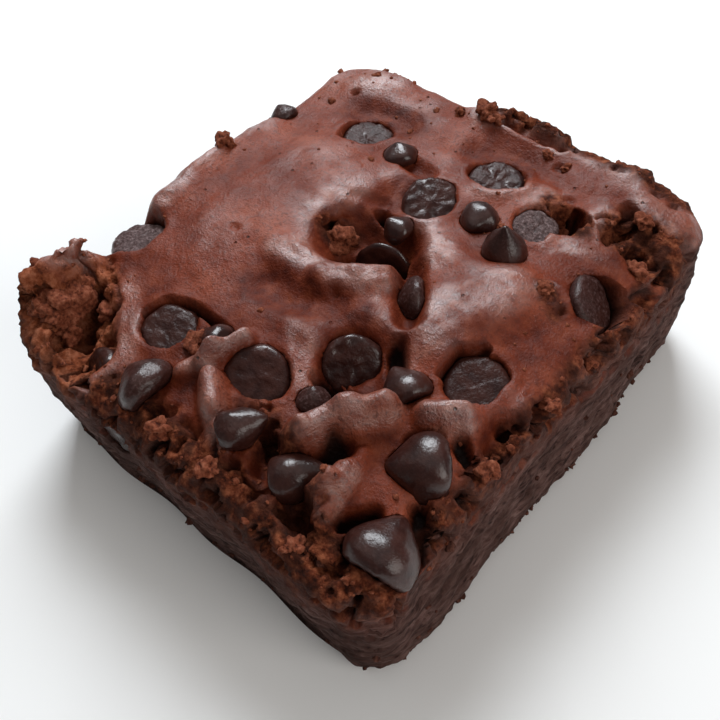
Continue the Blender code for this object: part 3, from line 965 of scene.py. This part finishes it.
class Mixer:
    def __init__(self, name):
        self.finish = bpy.data.materials.new(name)
        self.finish.use_nodes = True
        self.tree = self.finish.node_tree
        self.shader = self.tree.nodes["Principled BSDF"]
        place = self.node("ShaderNodeTexCoord")
        self.place = self.scaled(place.outputs["Object"], (1 / MM,) * 3)

    def node(self, kind, **settings):
        made = self.tree.nodes.new(kind)
        for key, value in settings.items():
            setattr(made, key, value)
        return made

    def feed(self, socket, value):
        if isinstance(value, bpy.types.NodeSocket):
            self.tree.links.new(value, socket)
        else:
            socket.default_value = value

    def scaled(self, place, scale):
        mapping = self.node("ShaderNodeMapping")
        self.feed(mapping.inputs["Vector"], place)
        mapping.inputs["Scale"].default_value = scale
        return mapping.outputs["Vector"]

    def zone(self, name):
        return self.node("ShaderNodeAttribute", attribute_name=name).outputs["Fac"]

    def grain(self, size, detail=3.0, roughness=0.55, stretch=None, distortion=0.0):
        texture = self.node("ShaderNodeTexNoise")
        place = self.scaled(self.place, stretch) if stretch else self.place
        self.feed(texture.inputs["Vector"], place)
        texture.inputs["Scale"].default_value = 1.0 / size
        texture.inputs["Detail"].default_value = detail
        texture.inputs["Roughness"].default_value = roughness
        texture.inputs["Distortion"].default_value = distortion
        return texture.outputs["Fac"]

    def cells(self, size, stretch=None):
        texture = self.node("ShaderNodeTexVoronoi")
        place = self.scaled(self.place, stretch) if stretch else self.place
        self.feed(texture.inputs["Vector"], place)
        texture.inputs["Scale"].default_value = 1.0 / size
        return texture.outputs["Distance"]

    def ramp(self, value, low, high, start=0.0, end=1.0):
        made = self.node("ShaderNodeMapRange", clamp=True)
        self.feed(made.inputs["Value"], value)
        for key, number in (("From Min", low), ("From Max", high), ("To Min", start), ("To Max", end)):
            made.inputs[key].default_value = number
        return made.outputs["Result"]

    def math(self, operation, first, second=0.0):
        made = self.node("ShaderNodeMath", operation=operation)
        self.feed(made.inputs[0], first)
        self.feed(made.inputs[1], second)
        return made.outputs["Value"]

    def colors(self, value, *stops):
        made = self.node("ShaderNodeValToRGB")
        self.feed(made.inputs["Fac"], value)
        elements = made.color_ramp.elements
        while len(elements) < len(stops):
            elements.new(0.5)
        for element, (position, color) in zip(elements, stops):
            element.position = position
            element.color = (*color, 1.0)
        return made.outputs["Color"]

    def mix(self, share, first, second):
        made = self.node("ShaderNodeMix", data_type="RGBA")
        self.feed(made.inputs["Factor"], share)
        self.feed(made.inputs["A"], first if isinstance(first, bpy.types.NodeSocket) else (*first, 1.0))
        self.feed(made.inputs["B"], second if isinstance(second, bpy.types.NodeSocket) else (*second, 1.0))
        return made.outputs["Result"]

    def blend(self, share, first, second):
        made = self.node("ShaderNodeMix", data_type="FLOAT")
        self.feed(made.inputs["Factor"], share)
        self.feed(made.inputs["A"], first)
        self.feed(made.inputs["B"], second)
        return made.outputs["Result"]

    def bump(self, height, depth, strength=1.0, under=None):
        made = self.node("ShaderNodeBump")
        self.feed(made.inputs["Height"], height)
        made.inputs["Distance"].default_value = depth * MM
        self.feed(made.inputs["Strength"], strength)
        if under is not None:
            self.feed(made.inputs["Normal"], under)
        return made.outputs["Normal"]


print("mixer ready")

# %% [markdown]
# ## Cake
# Baked skin is a reddish brown. Its raised tops are mixed towards a pale pink, partly a dusty bloom
# of sugar that shines dully and partly painted sheen. Moist hollows are deeper and more orange, partly
# their own colour and partly painted shade. Torn crumb is dark with orange grains and dark patches of
# painted shade, and it is lighter in the left corner as painted fill light. The sides are a dark grey
# brown, because the knife smeared them. Light dies in pores, pin holes and the pits and gaps round the
# chips, so they are painted nearly black, as painted shade.

# %% Cake finish


def cake_finish():
    mixer = Mixer("baked_cake")
    broad = mixer.grain(9.0, 4.0)
    middle = mixer.grain(2.2, 4.0)
    fine = mixer.grain(0.5, 3.0, 0.6)
    wrinkle = mixer.grain(1.0, 3.0, 0.6, stretch=(1.0, 0.45, 1.0), distortion=0.4)
    pin_holes = mixer.ramp(mixer.cells(3.6), 0.03, 0.08)

    skin = mixer.colors(
        broad, (0.32, (0.120, 0.017, 0.005)), (0.5, (0.180, 0.031, 0.011)), (0.68, (0.250, 0.060, 0.030))
    )
    # Painted sheen: raised tops are mixed towards a pale pink, partly a dusty sugar bloom and partly
    # painted sheen.
    pale_bloom_and_sheen = mixer.math("MULTIPLY", mixer.ramp(middle, 0.42, 0.66, 0.1, 0.8), mixer.zone("raised"))
    skin = mixer.mix(pale_bloom_and_sheen, skin, (0.30, 0.118, 0.082))
    skin = mixer.mix(mixer.ramp(fine, 0.50, 0.68, 0.0, 0.75), skin, (0.085, 0.016, 0.007))
    # Painted shade: pin holes in the skin are nearly black.
    skin = mixer.mix(pin_holes, (0.03, 0.007, 0.004), skin)

    # Moist colours: the batter's own deeper orange, made darker as well as painted shade in hollows.
    moist_and_shade = mixer.colors(
        middle, (0.3, (0.050, 0.006, 0.002)), (0.5, (0.100, 0.015, 0.005)), (0.7, (0.160, 0.032, 0.012))
    )
    crumb = mixer.colors(
        mixer.grain(1.1, 5.0, 0.65),
        (0.34, (0.020, 0.004, 0.002)), (0.48, (0.120, 0.026, 0.010)), (0.66, (0.290, 0.088, 0.040)),
    )
    # Painted shade: dark patches among the grains of the torn crumb.
    shaded = mixer.grain(3.4, 3.0, 0.6)
    crumb = mixer.mix(mixer.ramp(shaded, 0.56, 0.42, 0.0, 0.8), crumb, (0.026, 0.007, 0.004))
    # Painted fill light: the left corner's open crumb is a lighter orange, partly its own colour and
    # partly painted fill light.
    lit_open_crumb = mixer.colors(
        mixer.grain(1.3, 5.0, 0.65),
        (0.32, (0.050, 0.010, 0.004)), (0.46, (0.240, 0.060, 0.023)), (0.64, (0.430, 0.150, 0.078)),
    )
    crumb = mixer.mix(mixer.math("MULTIPLY", mixer.zone("left_corner_share"), 0.85), crumb, lit_open_crumb)
    streaks = mixer.grain(1.3, 6.0, 0.7, stretch=(0.4, 0.4, 1.5), distortion=0.5)
    side = mixer.colors(
        streaks, (0.36, (0.024, 0.011, 0.009)), (0.5, (0.108, 0.054, 0.045)), (0.66, (0.200, 0.118, 0.102))
    )
    # Painted shade: pores on the cut sides are nearly black.
    side_pores = mixer.ramp(mixer.cells(1.5, stretch=(0.6, 0.6, 1.3)), 0.06, 0.22)
    side = mixer.mix(side_pores, (0.012, 0.004, 0.003), side)
    smeared = mixer.ramp(mixer.grain(6.0, 4.0, 0.6), 0.4, 0.62, 0.0, 0.65)
    side = mixer.mix(smeared, side, (0.046, 0.020, 0.015))

    color = mixer.mix(mixer.zone("moist_and_shade"), skin, moist_and_shade)
    color = mixer.mix(mixer.zone("torn"), color, crumb)
    color = mixer.mix(mixer.zone("side"), color, side)
    # Painted shade: crust sunk below its neighbours, in pockets, wells and gaps round the chips, goes
    # nearly black.
    color = mixer.mix(mixer.zone("deep"), color, (0.008, 0.002, 0.001))
    mixer.feed(mixer.shader.inputs["Base Color"], color)

    gloss = mixer.ramp(middle, 0.3, 0.7, 0.34, 0.48)
    rough = mixer.blend(mixer.zone("moist_and_shade"), gloss, 0.5)
    rough = mixer.blend(mixer.zone("torn"), rough, 0.9)
    rough = mixer.blend(mixer.zone("side"), rough, 0.85)
    mixer.feed(mixer.shader.inputs["Roughness"], rough)
    mixer.shader.inputs["Specular IOR Level"].default_value = 0.12
    cut_or_torn = mixer.math("MAXIMUM", mixer.zone("torn"), mixer.zone("side"))
    bare = mixer.math("MAXIMUM", cut_or_torn, mixer.zone("deep"))
    dry = mixer.ramp(mixer.zone("moist_and_shade"), 0.0, 1.0, 1.0, 0.06)
    glaze = mixer.math("MULTIPLY", mixer.math("SUBTRACT", 1.0, bare), dry)
    glaze = mixer.math("MULTIPLY", glaze, mixer.ramp(mixer.zone("raised"), 0.0, 1.0, 0.12, 1.0))
    mottled = mixer.ramp(mixer.grain(4.0, 4.0, 0.6), 0.38, 0.56, 0.25, 1.0)
    mixer.feed(mixer.shader.inputs["Coat Weight"], mixer.math("MULTIPLY", glaze, mottled))
    mixer.shader.inputs["Coat Roughness"].default_value = 0.42
    mixer.shader.inputs["Coat IOR"].default_value = 1.95

    smooth = mixer.math("SUBTRACT", 1.0, cut_or_torn)
    normal = mixer.bump(wrinkle, 0.16, mixer.ramp(smooth, 0.0, 1.0, 0.1, 0.4))
    normal = mixer.bump(fine, 0.20, 0.8, normal)
    pores = mixer.grain(0.28, 3.0, 0.7)
    normal = mixer.bump(pores, 0.12, mixer.ramp(smooth, 0.0, 1.0, 0.2, 0.8), normal)
    normal = mixer.bump(pin_holes, 0.25, mixer.ramp(smooth, 0.0, 1.0, 0.0, 0.8), normal)
    coarse = mixer.grain(0.7, 5.0, 0.7)
    normal = mixer.bump(coarse, 0.5, mixer.ramp(mixer.zone("torn"), 0.0, 1.0, 0.0, 0.9), normal)
    normal = mixer.bump(streaks, 0.9, mixer.ramp(mixer.zone("side"), 0.0, 1.0, 0.0, 1.0), normal)
    mixer.feed(mixer.shader.inputs["Normal"], normal)
    mixer.feed(mixer.shader.inputs["Coat Normal"], normal)
    return mixer.finish


cake.data.materials.clear()
cake.data.materials.append(cake_finish())
print("finish on the cake:", cake.data.materials[0].name)

# %% [markdown]
# ## Chocolate
# Fresh chocolate is nearly black with a soft gloss. Heat draws cocoa butter to the surface, which
# dries to a grey, dusty film. The film follows each chip's bloom value and lies in patches.

# %% Chocolate finish


def chocolate_finish():
    mixer = Mixer("chip_chocolate")
    patch = mixer.grain(1.6, 4.0, 0.6)
    fine = mixer.grain(0.4, 4.0, 0.65)
    dark = mixer.colors(
        mixer.grain(2.5, 3.0), (0.35, (0.018, 0.004, 0.003)), (0.65, (0.042, 0.012, 0.008))
    )
    film = mixer.colors(
        fine, (0.35, (0.022, 0.007, 0.005)), (0.52, (0.048, 0.019, 0.016)), (0.68, (0.115, 0.070, 0.068))
    )
    dust = mixer.colors(
        fine, (0.35, (0.038, 0.020, 0.018)), (0.55, (0.115, 0.074, 0.072)), (0.7, (0.235, 0.175, 0.172))
    )
    film = mixer.mix(mixer.ramp(mixer.zone("bloom"), 0.85, 1.0), film, dust)
    cover = mixer.math("MULTIPLY", mixer.zone("bloom"), mixer.ramp(patch, 0.32, 0.55, 0.25, 1.0))
    mixer.feed(mixer.shader.inputs["Base Color"], mixer.mix(cover, dark, film))
    rough = mixer.blend(cover, mixer.ramp(patch, 0.35, 0.65, 0.14, 0.30), 0.6)
    mixer.feed(mixer.shader.inputs["Roughness"], mixer.math("MAXIMUM", rough, 0.42))
    mixer.shader.inputs["Specular IOR Level"].default_value = 0.1
    gloss = mixer.ramp(mixer.zone("base"), 0.0, 1.0, 0.85, 0.15)
    gloss = mixer.math("MULTIPLY", mixer.math("SUBTRACT", 1.0, cover), gloss)
    mixer.feed(mixer.shader.inputs["Coat Weight"], gloss)
    mixer.shader.inputs["Coat Roughness"].default_value = 0.16
    normal = mixer.bump(fine, 0.12, mixer.ramp(mixer.zone("bloom"), 0.0, 1.0, 0.25, 0.9))
    normal = mixer.bump(patch, 0.3, mixer.ramp(mixer.zone("base"), 0.0, 1.0, 0.2, 0.7), normal)
    mixer.feed(mixer.shader.inputs["Normal"], normal)
    mixer.feed(mixer.shader.inputs["Coat Normal"], normal)
    return mixer.finish


chocolate = chocolate_finish()
for chip in chips:
    chip.data.materials.append(chocolate)
print("finish on the chips:", chocolate.name)

# %% [markdown]
# ## Crumb finish
# Loose crumbs are the inside of the cake: orange brown, dry and quite matte, with darker grains.
# Crumbs on the cut sides are darker, because the knife smeared them too.

# %% Crumb finish


def crumb_finish(name, low, middle, high):
    mixer = Mixer(name)
    fine = mixer.grain(0.7, 4.0, 0.65)
    color = mixer.colors(fine, (0.32, low), (0.5, middle), (0.7, high))
    mixer.feed(mixer.shader.inputs["Base Color"], color)
    mixer.shader.inputs["Roughness"].default_value = 0.85
    mixer.shader.inputs["Specular IOR Level"].default_value = 0.15
    mixer.feed(mixer.shader.inputs["Normal"], mixer.bump(fine, 0.35, 0.9))
    return mixer.finish


loose_crumb = crumb_finish(
    "loose_crumb", (0.040, 0.008, 0.004), (0.175, 0.044, 0.020), (0.290, 0.100, 0.055)
)
dark_crumb = crumb_finish(
    "dark_crumb", (0.020, 0.006, 0.004), (0.075, 0.025, 0.016), (0.150, 0.062, 0.044)
)
for piece in crumb_pieces:
    piece.data.materials.append(dark_crumb if piece.name == "side_crumbs" else loose_crumb)
print("finishes on the crumbs:", loose_crumb.name, dark_crumb.name)
